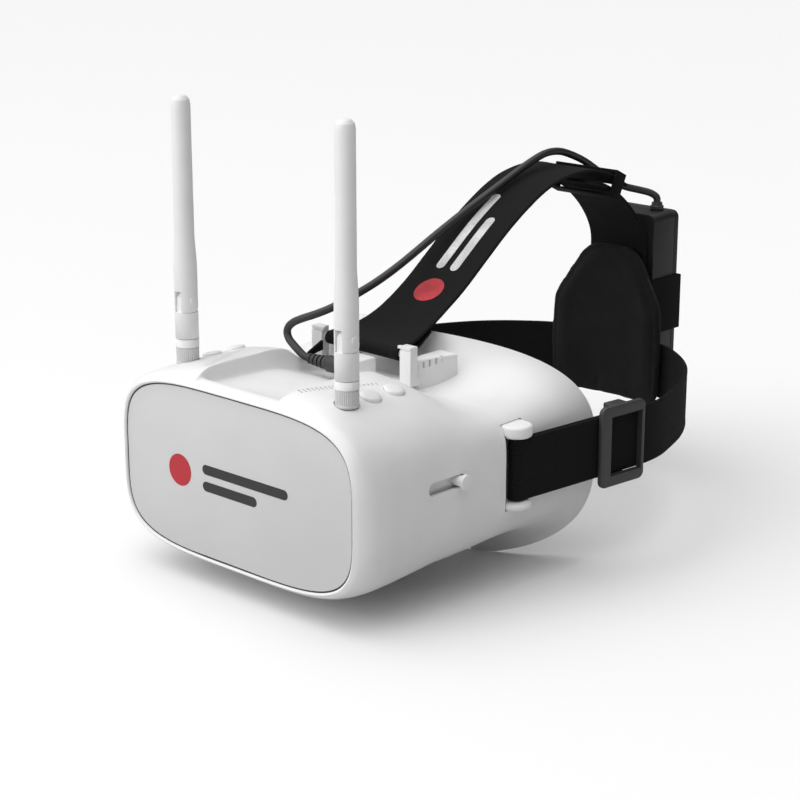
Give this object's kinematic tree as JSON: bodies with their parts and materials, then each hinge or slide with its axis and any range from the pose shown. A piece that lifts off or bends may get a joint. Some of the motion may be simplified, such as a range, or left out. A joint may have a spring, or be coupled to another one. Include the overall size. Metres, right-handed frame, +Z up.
{
  "type": "fpv goggles",
  "caption": "White box-type video goggles with folding antennas, focus slider, push buttons, face cup, black head strap with sliding buckles, padded rear plate and battery case on a lead.",
  "frame": {"origin": "centre of the underside of the object's box, on the surface that it stands on", "axes": "+Z up, -Y the way the front panel faces, +Y towards the back of the wearer's head, +X on the right seen from the front"},
  "size_m": [0.1866, 0.2904, 0.2104],
  "materials": {
    "white_shell": "satin moulded plastic with a fine bead-blasted grain",
    "front_face": "smooth satin plastic, slightly greyer than the shell",
    "antenna_plastic": "soft-touch moulded jacket, satin",
    "knurled_nut": "straight-knurled grip, matt",
    "gold_plate": "gold-plated brass",
    "foam": "soft brushed cloth over foam",
    "webbing": "woven elastic webbing, matt",
    "elastic": "flat woven elastic, matt",
    "pad_fabric": "brushed cloth over a foam pad, stitched edge",
    "buckle_plastic": "moulded nylon, satin",
    "battery_plastic": "fine textured plastic, satin",
    "cell_wrap": "shrink wrap over a metal can",
    "steel": "plated steel",
    "cable_jacket": "satin flexible jacket",
    "black_plastic": "matt black plastic",
    "screen_glass": "glossy black screen",
    "clear_lens": "clear moulded lens",
    "circuit_board": "green solder resist",
    "shield_can": "tin-plated shield"
  },
  "bodies": {
    "goggles": {"main_housing": "white_shell", "front_panel": "front_face", "face_cup": "white_shell", "face_foam": "foam", "side_arm_left": "white_shell", "side_arm_right": "white_shell", "strap_bracket": "white_shell", "lcd_panel": "screen_glass", "lcd_bezel": "black_plastic", "main_board": "circuit_board", "receiver_module": "shield_can", "button_boards": "circuit_board", "eye_tunnel": "black_plastic", "guide_rails": "steel", "antenna_nut_left": "knurled_nut", "antenna_nut_right": "knurled_nut", "sma_jacks": "gold_plate", "dc_jack": "black_plastic", "dc_plug": "cable_jacket", "power_cable": "cable_jacket", "card_socket": "black_plastic", "top_strap_front": "webbing", "top_strap_rear": "webbing", "cable_keeper": "buckle_plastic", "cable_tab": "webbing", "side_strap_left": "webbing", "side_strap_right": "webbing", "rear_pad": "pad_fabric", "battery_case": "battery_plastic", "battery_cover": "battery_plastic", "battery_cells": "cell_wrap", "battery_contacts": "steel", "battery_band": "elastic", "cable_gland": "cable_jacket", "bezel_screws": "steel"},
    "focus_carriage": {"lens_carriage": "black_plastic", "lens": "clear_lens", "focus_knobs": "white_shell"},
    "menu_button_right": {"menu_button_right": "white_shell"},
    "channel_button_right": {"channel_button_right": "white_shell"},
    "antenna_base_right": {"antenna_base_right": "antenna_plastic"},
    "antenna_whip_right": {"antenna_whip_right": "antenna_plastic"},
    "strap_buckle_right": {"strap_buckle_right": "buckle_plastic"},
    "menu_button_left": {"menu_button_left": "white_shell"},
    "channel_button_left": {"channel_button_left": "white_shell"},
    "antenna_base_left": {"antenna_base_left": "antenna_plastic"},
    "antenna_whip_left": {"antenna_whip_left": "antenna_plastic"},
    "strap_buckle_left": {"strap_buckle_left": "buckle_plastic"}
  },
  "joints": [
    {"name": "menu_button_right_press", "type": "slide", "parent": "goggles", "child": "menu_button_right", "axis": [0, 0, -1], "range_m": [0, 0.0008], "stiffness_N_per_m": 700, "springref_m": -0.0006},
    {"name": "channel_button_right_press", "type": "slide", "parent": "goggles", "child": "channel_button_right", "axis": [0, 0, -1], "range_m": [0, 0.0008], "stiffness_N_per_m": 700, "springref_m": -0.0006},
    {"name": "menu_button_left_press", "type": "slide", "parent": "goggles", "child": "menu_button_left", "axis": [0, 0, -1], "range_m": [0, 0.0008], "stiffness_N_per_m": 700, "springref_m": -0.0006},
    {"name": "channel_button_left_press", "type": "slide", "parent": "goggles", "child": "channel_button_left", "axis": [0, 0, -1], "range_m": [0, 0.0008], "stiffness_N_per_m": 700, "springref_m": -0.0006},
    {"name": "focus_slide", "type": "slide", "parent": "goggles", "child": "focus_carriage", "axis": [0, -1, 0], "range_m": [0, 0.0165]},
    {"name": "antenna_swivel_right", "type": "hinge", "parent": "goggles", "child": "antenna_base_right", "pos_m": [0.0493, -0.1256, 0.1076], "axis": [0, 0, -1], "range_deg": [-90, 90]},
    {"name": "antenna_tilt_right", "type": "hinge", "parent": "antenna_base_right", "child": "antenna_whip_right", "pos_m": [0.0493, -0.1256, 0.1222], "axis": [-1, 0, 0], "range_deg": [0, 90]},
    {"name": "antenna_swivel_left", "type": "hinge", "parent": "goggles", "child": "antenna_base_left", "pos_m": [-0.0493, -0.1256, 0.1076], "axis": [0, 0, 1], "range_deg": [-90, 90]},
    {"name": "antenna_tilt_left", "type": "hinge", "parent": "antenna_base_left", "child": "antenna_whip_left", "pos_m": [-0.0493, -0.1256, 0.1222], "axis": [-1, 0, 0], "range_deg": [0, 90]},
    {"name": "buckle_slide_right", "type": "slide", "parent": "goggles", "child": "strap_buckle_right", "axis": [-0.0982, -0.9952, 0], "range_m": [0, 0.022]},
    {"name": "buckle_slide_left", "type": "slide", "parent": "goggles", "child": "strap_buckle_left", "axis": [0.0982, -0.9952, 0], "range_m": [0, 0.022]}
  ]
}
